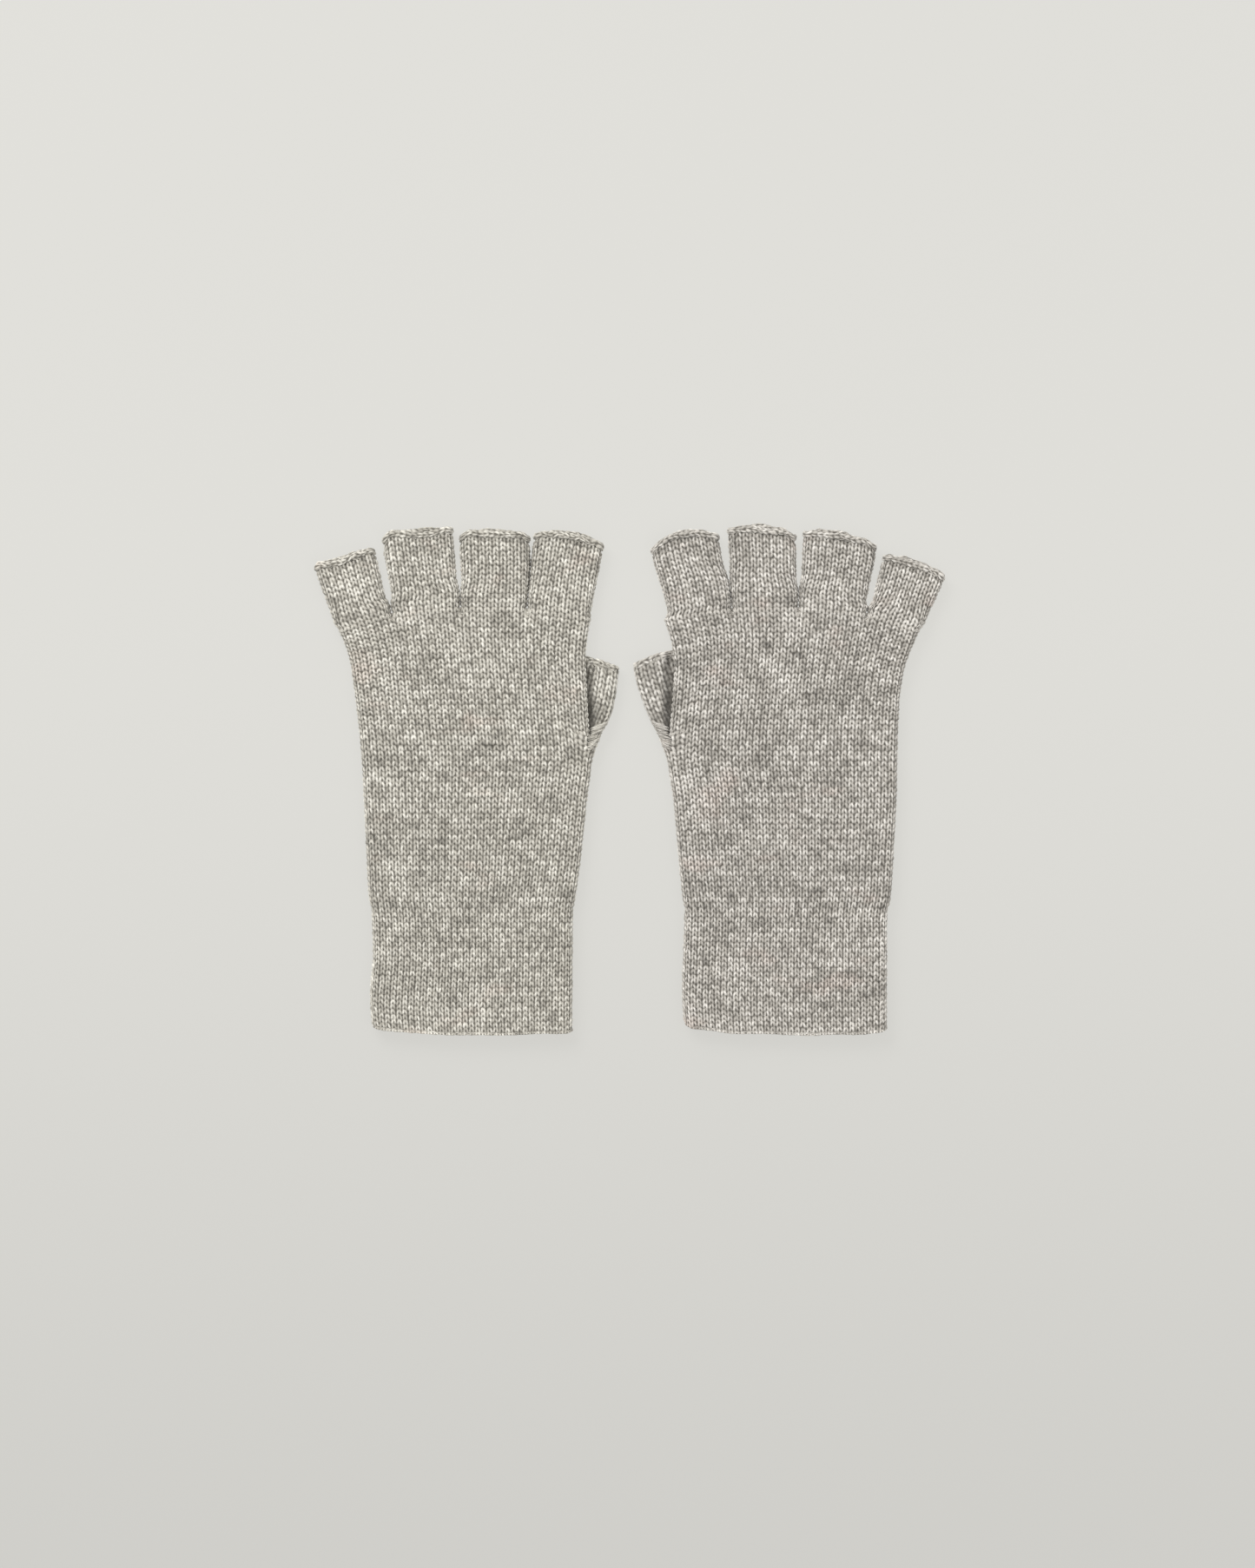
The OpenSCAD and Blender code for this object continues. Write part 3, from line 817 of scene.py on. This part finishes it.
def wool(name, shade=1.0, legs=True):
    """Melange wool: cream and grey fibres that run along the strands, in slow patches along the courses.
    legs is for knit, whose strands lie in pairs; without it the fibres run along a single yarn."""
    k = Nodes(name)
    split = k.add("ShaderNodeSeparateXYZ")
    k.feed(split.inputs[0], k.add("ShaderNodeUVMap", uv_map="stitch").outputs[0])
    u, v = split.outputs[0], split.outputs[1]
    along = k.math("MULTIPLY", v, COURSE)
    if legs:
        off = k.math("SUBTRACT", k.math("FRACT", u), 0.5)
        from_middle = k.math("MULTIPLY", k.math("ABSOLUTE", off), WALE)
        across = k.math("ADD", from_middle, k.math("MULTIPLY", along, LEG_LEAN))
        strand = k.math("ADD", k.math("MULTIPLY", k.math("FLOOR", u), COLUMN_STEP), k.math("SIGN", off))
    else:
        across = k.math("MULTIPLY", u, 1.6)
        strand = k.math("MULTIPLY", k.math("FLOOR", u), COLUMN_STEP)

    def streaks(per_across, per_along, detail, rough):
        """Noise drawn out along the strands, with so many streaks for each mm across and along them."""
        place = k.vector(k.math("MULTIPLY", across, per_across), k.math("MULTIPLY", along, per_along), strand)
        return k.noise(place, 1.0, detail, rough)

    fibre = streaks(4.2, 0.62, 3.0, 0.62)
    fleck = streaks(9.0, 2.2, 2.0, 0.6)
    # the yarn changes slowly as it runs along a course, and from one course to the next
    run = k.noise(k.vector(k.math("MULTIPLY", u, 0.33), k.math("MULTIPLY", v, 1.15), 3.1), 1.0, 2.0, 0.55)
    squeeze = k.add("ShaderNodeMapping", vector_type="POINT")
    squeeze.inputs["Scale"].default_value = PATCH_SCALE
    k.feed(squeeze.inputs[0], k.add("ShaderNodeTexCoord").outputs["Object"])
    patch = k.noise(squeeze.outputs[0], 1.0, 3.0, 0.55)
    tone = k.add("ShaderNodeAttribute", attribute_name="tone", attribute_type="GEOMETRY").outputs["Fac"]
    blend = k.math("ADD", k.around(fibre, FIBRE_MIX), k.around(fleck, FLECK_MIX))
    blend = k.math("ADD", blend, k.math("ADD", k.around(run, RUN_MIX), k.around(patch, PATCH_MIX)))
    blend = k.math("ADD", blend, k.around(tone, STRAND_MIX))
    ramp = k.add("ShaderNodeValToRGB")
    k.feed(ramp.inputs[0], k.math("ADD", blend, MIDDLE_TONE, clamp=True))
    stops = ramp.color_ramp.elements
    stops.new(RAMP[1][0])
    for stop, (at, colour) in zip(stops, RAMP):
        stop.position, stop.color = at, linear(colour, shade)
    warm = k.between(k.noise(squeeze.outputs[0], 0.45, 2.0, 0.5), 0.60, 0.75, 0.0, BEIGE_MOST)
    tinted = k.mix("MIX", warm, ramp.outputs[0], linear(BEIGE_FIBRE, shade))
    # painted shade: where the relief is low, in the grooves between the strands and wherever a piece's shade
    # has lowered it, the wool is drawn darker
    relief = k.add("ShaderNodeAttribute", attribute_name="relief", attribute_type="GEOMETRY").outputs["Fac"]
    groove_shade = k.between(relief, 0.0, GROOVE_FULL, GROOVE_SHADE, 1.0)
    place = k.add("ShaderNodeSeparateXYZ")
    k.feed(place.inputs[0], k.add("ShaderNodeTexCoord").outputs["Object"])
    shadow = k.add("ShaderNodeCombineColor")
    # the right glove is drawn a little darker and bluer: partly its own tint, partly painted shade
    for socket, power, right in zip(shadow.inputs, GROOVE_SHADE_TINT, RIGHT_TINT_AND_SHADE):
        tint_and_shade = k.between(place.outputs[0], *RIGHT_FROM, 1, right)
        k.feed(socket, k.math("MULTIPLY", k.math("POWER", groove_shade, power), tint_and_shade))
    k.feed(k.bsdf.inputs["Base Color"], k.mix("MULTIPLY", 1.0, tinted, shadow.outputs[0]))
    k.bsdf.inputs["Roughness"].default_value = 0.95
    k.bsdf.inputs["Specular IOR Level"].default_value = 0.15
    k.bsdf.inputs["Sheen Weight"].default_value = 0.35
    k.bsdf.inputs["Sheen Roughness"].default_value = 0.55
    bump = k.add("ShaderNodeBump")
    bump.inputs["Strength"].default_value = 0.55
    bump.inputs["Distance"].default_value = 0.0003
    k.feed(bump.inputs["Height"], k.math("ADD", fibre, k.math("MULTIPLY", fleck, 0.6)))
    k.feed(k.bsdf.inputs["Normal"], bump.outputs[0])
    return k.material


WOOLS = {
    "hand_knit": wool("hand_wool"),
    "finger_knit": wool("finger_wool", 1.01),
    "thumb_knit": wool("thumb_wool", 0.94),
    "cuff_knit": wool("cuff_wool", 1.04),
    "bound_edge": wool("edge_wool", 1.04),
    "gathered_stitches": wool("tie_wool", 0.9, legs=False),
}


def dress(obj, slot, *nodes):
    obj.data.materials.append(WOOLS[slot])
    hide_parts(*nodes)
    return obj


# ---------------------------------------------------------------- the gloves

CUFF_COURSES = round(CUFF_LEN / CUFF_COURSE)
LOWER_COURSES = round(FORK_UP / COURSE)
UPPER_COURSES = round((ROOTS["left"][2][1] - SPLIT_Y) / COURSE)


TIGHT = 0.45  # mm, depth of the groove where the hand meets the cuff
TIGHT_ROWS = (0.2, 0.8)  # courses above that line, where it is deepest, and its reach
FINE_RIB = (0.55, 0.2)  # depth of the groove beside every wale, in mm, and its half-width, in wales
BROAD_RIB = (0.45, 0.38)  # how much deeper it is at every third wale, and its half-width there
RIB_FADE = (0.45, 0.35, 0.1)  # the grooves' middle strength, how much it changes, and its least
RIB_START = 3  # courses above the cuff's edge, where the grooves are full
RIB_END = 4  # courses below the hand, where they start to end


def tight_row(v):
    """The hand pulls in where it meets the cuff."""
    return -TIGHT * np.exp(-((v - TIGHT_ROWS[0]) / TIGHT_ROWS[1]) ** 2)


def cuff_shape(side):
    """A groove beside every wale, deeper at every third and in some places, that stops short of the cuff's
    ends."""
    def shape(u, v):
        fine = np.exp(-(((u + 0.5) % 1 - 0.5) / FINE_RIB[1]) ** 2)
        broad = np.exp(-(((u + 1.5) % 3 - 1.5) / BROAD_RIB[1]) ** 2)
        strength = RIB_FADE[0] + RIB_FADE[1] * waves(u, v * 0.3, SEED[side] + 3, 31)
        strength = np.clip(strength, RIB_FADE[2], 1)
        ease = smooth(-CUFF_COURSES, RIB_START - CUFF_COURSES, v) * (1 - smooth(-RIB_END, 0, v))
        return tight_row(v) - (FINE_RIB[0] * fine + BROAD_RIB[0] * broad) * strength * ease
    return shape


# mm, how much higher the cuff's edge is on the little finger's and the thumb's side than in its middle
CUFF_BOW = {"left": (2.6, 0.9), "right": (0.8, 3.6)}
CUFF_TURN = 3.4  # mm, how far its corners turn up besides
CUFF_TURN_AT = (0.905, 0.1)  # where a corner starts and how long it is, against half the cuff's width
CUFF_WAVE = 0.4  # mm, height of the waves in the edge
CUFF_WAVE_SIZE = 26  # mm, about how far apart they are
CUFF_DOWN = 0.4  # mm, how far the edge lies below the CAD part's


def cuff_bottom(side):
    """The cuff's edge: it bows, turns up at its corners and waves a little."""
    def line(x):
        t, bow = np.abs(x) / CUFF_HALF, np.where(x < 0, *CUFF_BOW[side])
        corner = 1 - np.sqrt(1 - np.clip((t - CUFF_TURN_AT[0]) / CUFF_TURN_AT[1], 0, 1) ** 2)
        wave = CUFF_WAVE * waves(x, 0 * x, SEED[side] + 5, CUFF_WAVE_SIZE)
        return bow * t ** 2 + CUFF_TURN * corner + wave - CUFF_DOWN
    return line


def make_hand(side):
    hand, seed = side + "_hand", SEED[side]
    cuff_top = lambda x: CUFF_LEN + 0 * x
    seam = lambda x: seam_y(side, x)
    roots = lambda x: root_y(side, x)
    lower = knit_piece(side, "hand_lower_knit", hand_surface(side, cuff_top, seam, "lower"), HAND_WALES,
                       LOWER_COURSES, 0, seed, lambda u, v: tight_row(v) + 0 * u, over=(1, 1))
    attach(dress(lower, "hand_knit", side + "_hand_lower"), hand)
    upper = knit_piece(side, "hand_upper_knit", hand_surface(side, seam, roots, "upper"), HAND_WALES,
                       UPPER_COURSES, LOWER_COURSES, seed, calm=(LOWER_COURSES + UPPER_COURSES,), over=(1, 1))
    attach(dress(upper, "hand_knit", side + "_hand_upper"), hand)

    bottom = cuff_bottom(side)
    cuff = knit_piece(side, "cuff_knit", hand_surface(side, bottom, cuff_top, "cuff"), HAND_WALES,
                      CUFF_COURSES, -CUFF_COURSES, seed, cuff_shape(side), course=CUFF_COURSE, over=(0, 1))
    dress(cuff, "cuff_knit", side + "_cuff_rib")
    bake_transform(cuff)

    def lip_line(q):
        """The bound edge lies inside the mouth, so that little of it shows from above."""
        inset, up, deeper = CUFF_EDGE_R[0], 0.6, 0.5
        x, z = ring(q, FOLD - little_side[side](0.0), thumb_side[side](0.0) - FOLD, FOLD - inset)
        return np.stack([x, bottom(x) + up, R + z * (R - inset - deeper)], -1)

    lip = chain(side, "cuff_lip", lip_line, (0, 1), HAND_WALES, seed + 8, CUFF_EDGE_R)
    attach(dress(lip, "bound_edge", side + "_cuff_edge"), side + "_cuff")


def hand_columns(side, x):
    """Which column of the hand's knit passes through x at the fingers' roots, and how wide a column is."""
    lo = FOLD - little_side[side](root_y(side, LITTLE_AT[1]))
    hi = thumb_side[side](root_y(side, THUMB_AT[1])) - FOLD
    step = 2 * (hi - lo + math.pi * FOLD) / HAND_WALES
    return (hi - x + math.pi * FOLD / 2) / step, step


LAST_SINK = (0.95, 0.7)  # mm that a stall's last course sinks, and its reach in courses
EDGE_SHADE = 0.4  # how much painted shade darkens the knit under a bound edge
EDGE_SHADE_V = (-1.4, 0.2)  # mm from the bound edge, where that begins and where it is full
TOUCH_SHADE = 0.6  # how much painted shade darkens it where two stalls touch
TOUCH_SHADE_WIDE = 1.7  # mm, how far in from the side
TOUCH_SHADE_END = (0.8, 1.3)  # where it starts to end and where it ends, against how far the stalls touch
TOUCH_SHADE_START = (-1, 2)  # mm above the root line, where it starts and where it is full
STALL_BEND = 11  # mm, from a stall's root to a second point, which is worked out but not used
EDGE_SAG = 0.4  # mm, height of the waves in a bound edge
EDGE_SAG_SIZE = 10  # mm, about how far apart they are
EDGE_OUT = 0.15  # mm, how far a bound edge stands out from the stall


def make_finger(side, finger, order):
    s, body = STALLS[side, finger], f"{side}_{finger}"
    low, high = stall_sides(side, finger, s.length)
    low0, high0 = stall_sides(side, finger, 0.0)
    around = 2 * (low + high - 2 * FOLD) + 2 * math.pi * FOLD
    wales = round(around / FINGER_WALE)
    # its columns carry on from the hand's
    hand_column, step = hand_columns(side, s.root[0])
    own_column = wales / 4 + (high0 - low0) / 2 / step
    first_course, courses = LOWER_COURSES + UPPER_COURSES, round((s.length - EDGE_R[1]) / FINGER_COURSE)

    def shape(u, v):
        """The last course sinks under the bound edge."""
        sink, reach = LAST_SINK
        return -sink * np.exp(-((v - first_course - courses) / reach) ** 2) + 0 * u

    def shade(points):
        """Painted shade: the knit is drawn darker under the bound edge and where two stalls touch."""
        flat = points[..., :2] - s.root
        u, v = flat @ s.u, flat @ s.v
        end = tip_v(side, finger, u, 1) - 2 * EDGE_R[1]
        light = 1 - EDGE_SHADE * smooth(end + EDGE_SHADE_V[0], end + EDGE_SHADE_V[1], v)
        for step, reach in zip((-1, 1), stall_sides(side, finger, v)):
            if 0 <= order + step < len(FINGERS):
                touch = TOUCHING[side][min(order, order + step)]
                beside = 1 - smooth(0, TOUCH_SHADE_WIDE, reach - step * u)
                beside = beside * (1 - smooth(TOUCH_SHADE_END[0] * touch, TOUCH_SHADE_END[1] * touch, v))
                light = light * (1 - TOUCH_SHADE * beside * smooth(*TOUCH_SHADE_START, v))
        return light

    stall = knit_piece(side, f"{finger}_stall_knit", stall_surface(side, finger, wales, step), wales,
                       courses, first_course, SEED[side] + 10 * order, shape, FINGER_WALE, FINGER_COURSE,
                       phase=(own_column - hand_column) % 1, calm=(first_course,), over=(1, 0), shade=shade)
    dress(stall, "finger_knit", body + "_stall")
    zero = np.array(0.0)
    to_frame(side, s.world(zero, zero, zero + R))
    to_frame(side, s.world(zero, zero + STALL_BEND, zero + R))
    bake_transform(stall)

    def mouth(q):
        inset = EDGE_R[0] - EDGE_OUT
        u, z = ring(q, FOLD - low, high - FOLD, FOLD - inset)
        sag = EDGE_SAG * waves(u, 5 * z, SEED[side] + order, EDGE_SAG_SIZE)
        return s.world(u, tip_v(side, finger, u, z) - EDGE_R[1] + sag, STALL_R + z * (STALL_R - inset))

    edge = chain(side, finger + "_bound_edge", mouth, s.v, round(around / LINK), SEED[side] + 3 * order,
                 EDGE_R)
    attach(dress(edge, "bound_edge", body + "_edge"), body)


THUMB_BEND = (-3, 5)  # mm above the root line, two points where the thumb leaves the hand, which are worked out but not used
THUMB_SHADE = (0.3, 0.8)  # brightness of the painted shade beside the hand's edge, near the thumb's fork and near its tip
THUMB_SHADE_UP = (10, 28)  # mm above the root line, where the one passes into the other
THUMB_SHADE_OUT = (0.5, 5.0)  # mm out from the hand's edge, where the thumb starts to be lit and where it is


def bend_with_thumb(side, obj):
    """Works out two points where the thumb leaves the hand, which are not used, and bakes the piece's
    transform.
    """
    s, zero = STALLS[side, "thumb"], np.array(0.0)
    to_frame(side, s.world(zero, zero + THUMB_BEND[0], zero + THUMB_R))
    to_frame(side, s.world(zero, zero + THUMB_BEND[1], zero + THUMB_R))
    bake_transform(obj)


def make_thumb(side):
    s, body = STALLS[side, "thumb"], side + "_thumb"
    around = 2 * (2 * s.half - THUMB_UNDER_Z) + math.pi * THUMB_UNDER_Z
    wales, courses = round(around / FINGER_WALE), round((s.length + SEAM_DROP - 1) / FINGER_COURSE)

    def shade(points):
        """Painted shade: the knit is drawn darker where it comes out from under the hand's edge, most of all
        near the fork.
        """
        beside = points[..., 0] - thumb_side[side](points[..., 1])
        up = (points[..., :2] - s.root) @ s.v
        return mix(mix(*THUMB_SHADE, smooth(*THUMB_SHADE_UP, up)), 1, smooth(*THUMB_SHADE_OUT, beside))

    stall = knit_piece(side, "thumb_stall_knit", thumb_surface(side), wales, courses, LOWER_COURSES,
                       SEED[side] + 60, wale=FINGER_WALE, course=FINGER_COURSE, shade=shade,
                       knit=THUMB_KNIT, relief=THUMB_RELIEF)
    dress(stall, "thumb_knit", body + "_stall")
    bend_with_thumb(side, stall)

    def mouth(q):
        inset = THUMB_EDGE_R[0]
        u, z = ring(q, THUMB_R - s.half, thumb_outer(side, s.length) - THUMB_R, THUMB_R - inset)
        return thumb_place(side, s, u, thumb_tip(side, u) - THUMB_EDGE_R[1], z, inset)

    edge = chain(side, "thumb_bound_edge", mouth, s.v, round(around / LINK), SEED[side] + 70, THUMB_EDGE_R)
    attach(dress(edge, "bound_edge", body + "_edge"), body)


TIE_STRANDS = 4  # gathered stitches at a fork, on top and again underneath
TIE_R = 0.55  # mm, half the thickness of their yarn
TIE_START = -1.8  # mm from the fork to the lowest of them
TIE_STEP = 0.8  # mm from one to the next
TIE_DIP = (1.2, 0.6)  # mm, how far the lowest one's middle dips, and how much more each next one's does
TIE_DEPTH = (1.7, 1.3, 1.9)  # mm under the knit's surface: its start, its middle before the dip, its end
GUSSET_STRANDS = 15  # long stitches across the thumb's fork
GUSSET_R = 0.4  # mm, half the thickness of their yarn
GUSSET_UP = 3.4  # mm from the hand's seam up to the fork that they close
GUSSET_DEPTH = (0.45, 0.9)  # mm, how deep a long stitch's inner and outer ends go under the surface


def make_ties(side):
    """The gathered stitches between the fingers, on top and underneath, and the long ones at the thumb's
    fork."""
    rng = np.random.default_rng(SEED[side] + 90)
    paths = []
    for x, y in ROOTS[side][1:4]:
        for k in range(TIE_STRANDS):
            reach, rise = rng.uniform(1.5, 2.2), rng.uniform(-0.5, 1.0)
            at = y + TIE_START + TIE_STEP * k
            dip = TIE_DIP[0] + TIE_DIP[1] * k
            start, lowest, end = TIE_DEPTH
            for top in (1, -1):
                z = [R + top * (R - start), R + top * (R - lowest - dip), R + top * (R - end)]
                paths.append([(x - reach, at - rise, z[0]), (x, at, z[1]), (x + reach, at + rise, z[2])])
    ties = strands_piece(side, "crotch_ties_yarn", paths, TIE_R)
    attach(dress(ties, "gathered_stitches", side + "_crotch_ties"), side + "_hand")

    edge = thumb_side[side](SPLIT_Y)
    fork = float(seam_y(side, edge)) + GUSSET_UP

    def top_at(x, y):
        """The top of the hand, and above the seam of the thumb."""
        hand = GLOVE_Z - thumb_groove(side, np.array(x), np.array(y))
        return float(mix(hand, thumb_height(side, x), smooth(fork - 4.4, fork - 2.4, y)))

    # they run slantwise from the hand's edge to the thumb's outer edge, shorter towards the cuff
    paths = []
    for k in range(GUSSET_STRANDS):
        t = (k + rng.uniform(-0.3, 0.3)) / GUSSET_STRANDS
        x0, y0 = edge - 0.9 + rng.uniform(-0.5, 0.4), fork - 0.2 - 10.5 * t
        x1, y1 = edge + 8.6 - 6.6 * t + rng.uniform(-0.6, 0.3), fork + 3.2 - 12.0 * t
        xm, ym = (x0 + x1) / 2, (y0 + y1) / 2 - 0.3
        paths.append([(x0, y0, top_at(x0, y0) - GUSSET_DEPTH[0]), (xm, ym, top_at(xm, ym)),
                      (x1, y1, top_at(x1, y1) - GUSSET_DEPTH[1])])
    gusset = strands_piece(side, "thumb_gusset_yarn", paths, GUSSET_R)
    gusset.data.materials.append(WOOLS["hand_knit"])
    bend_with_thumb(side, gusset)


for side in SIDES:
    make_hand(side)
    for order, finger in enumerate(FINGERS):
        make_finger(side, finger, order)
    make_thumb(side)
    make_ties(side)

# ---------------------------------------------------------------- floor, light and camera

low, high = np.array(cad_box[0]), np.array(cad_box[1])
middle = (low + high) / 2
size = high - low
FLOOR_HALF = 6.0  # metres
FLOOR_DROP = 0.0004  # metres, from the gloves down to the paper
PAPER_SHADE = 0.12  # how much of the paper's brightness comes from light that falls on it
PAPER_GLOW = (0.715, 0.866)  # painted light: the paper's glow, in place of light falling on it, at the bottom of the picture and at the top
PAPER_GLOW_Y = (-0.44, 0.12)  # metres, where the one passes into the other


def plane(name, half, z):
    corners = [(-half, -half, z), (half, -half, z), (half, half, z), (-half, half, z)]
    mesh = bpy.data.meshes.new(name)
    mesh.from_pydata(corners, [], [(0, 1, 2, 3)])
    obj = bpy.data.objects.new(name, mesh)
    scene.collection.objects.link(obj)
    return obj


floor = plane("floor", FLOOR_HALF, low[2] - FLOOR_DROP)
paper = Nodes("paper")
paper_grey = linear((222, 221, 217), PAPER_SHADE)
grain = paper.noise(paper.add("ShaderNodeTexCoord").outputs["Object"], 900.0, 2.0, 0.5)
speckle = paper.math("MULTIPLY", grain, 0.04)
paper.feed(paper.bsdf.inputs["Base Color"],
           paper.mix("MIX", speckle, paper_grey, linear((200, 199, 195), PAPER_SHADE)))
paper.bsdf.inputs["Roughness"].default_value = 0.9
paper.bsdf.inputs["Specular IOR Level"].default_value = 0.2
# painted light: the paper glows, brighter towards the top of the picture, in place of most of the light that
# would fall on it, so that the gloves' shadows on it stay faint
paper.bsdf.inputs["Emission Color"].default_value = linear((222, 221, 216))
parts = paper.add("ShaderNodeSeparateXYZ")
paper.feed(parts.inputs[0], paper.add("ShaderNodeTexCoord").outputs["Object"])
glow = paper.between(parts.outputs[1], *PAPER_GLOW_Y, *PAPER_GLOW)
paper.feed(paper.bsdf.inputs["Emission Strength"], glow)
floor.data.materials.append(paper.material)

WORLD_COLOUR = (1.0, 0.995, 0.985, 1)
WORLD_LIGHT = 0.68
LIGHT_COLOUR = (1.0, 0.99, 0.975)

world = bpy.data.worlds.new("studio")
world.use_nodes = True
world.node_tree.nodes["Background"].inputs["Color"].default_value = WORLD_COLOUR
world.node_tree.nodes["Background"].inputs["Strength"].default_value = WORLD_LIGHT
scene.world = world


def softbox(name, place, width, power):
    """A wide soft light at place, in metres, that faces the gloves. power is in watts."""
    light = bpy.data.lights.new(name, "AREA")
    light.shape, light.size, light.size_y, light.energy = "RECTANGLE", width, width * 0.7, power
    light.color = LIGHT_COLOUR
    obj = bpy.data.objects.new(name, light)
    obj.location = place
    obj.rotation_euler = (Vector(middle) - Vector(place)).to_track_quat("-Z", "Y").to_euler()
    scene.collection.objects.link(obj)


softbox("window", (-0.9, 1.4, 1.3), 1.5, 31)
softbox("fill", (0.9, -0.9, 1.7), 1.6, 5)

VIEW_HEIGHT = 3.078  # the picture's height against the pair's own
DISTANCE = 2.2  # metres from the gloves up to the camera
SENSOR = 36  # mm, height of the camera's sensor
OFF_MIDDLE = (-0.0008, -0.0020)  # metres, how far the camera is off the middle of the pair
camera_data = bpy.data.cameras.new("camera")
camera_data.sensor_fit = "VERTICAL"
camera_data.sensor_height = SENSOR
camera_data.lens = SENSOR * DISTANCE / (VIEW_HEIGHT * size[1])
camera_data.clip_end = 20
camera = bpy.data.objects.new("camera", camera_data)
camera.location = (middle[0] + OFF_MIDDLE[0], middle[1] + OFF_MIDDLE[1], high[2] + DISTANCE)
scene.collection.objects.link(camera)
scene.camera = camera
scene.view_settings.view_transform = "Standard"

bpy.context.view_layer.update()
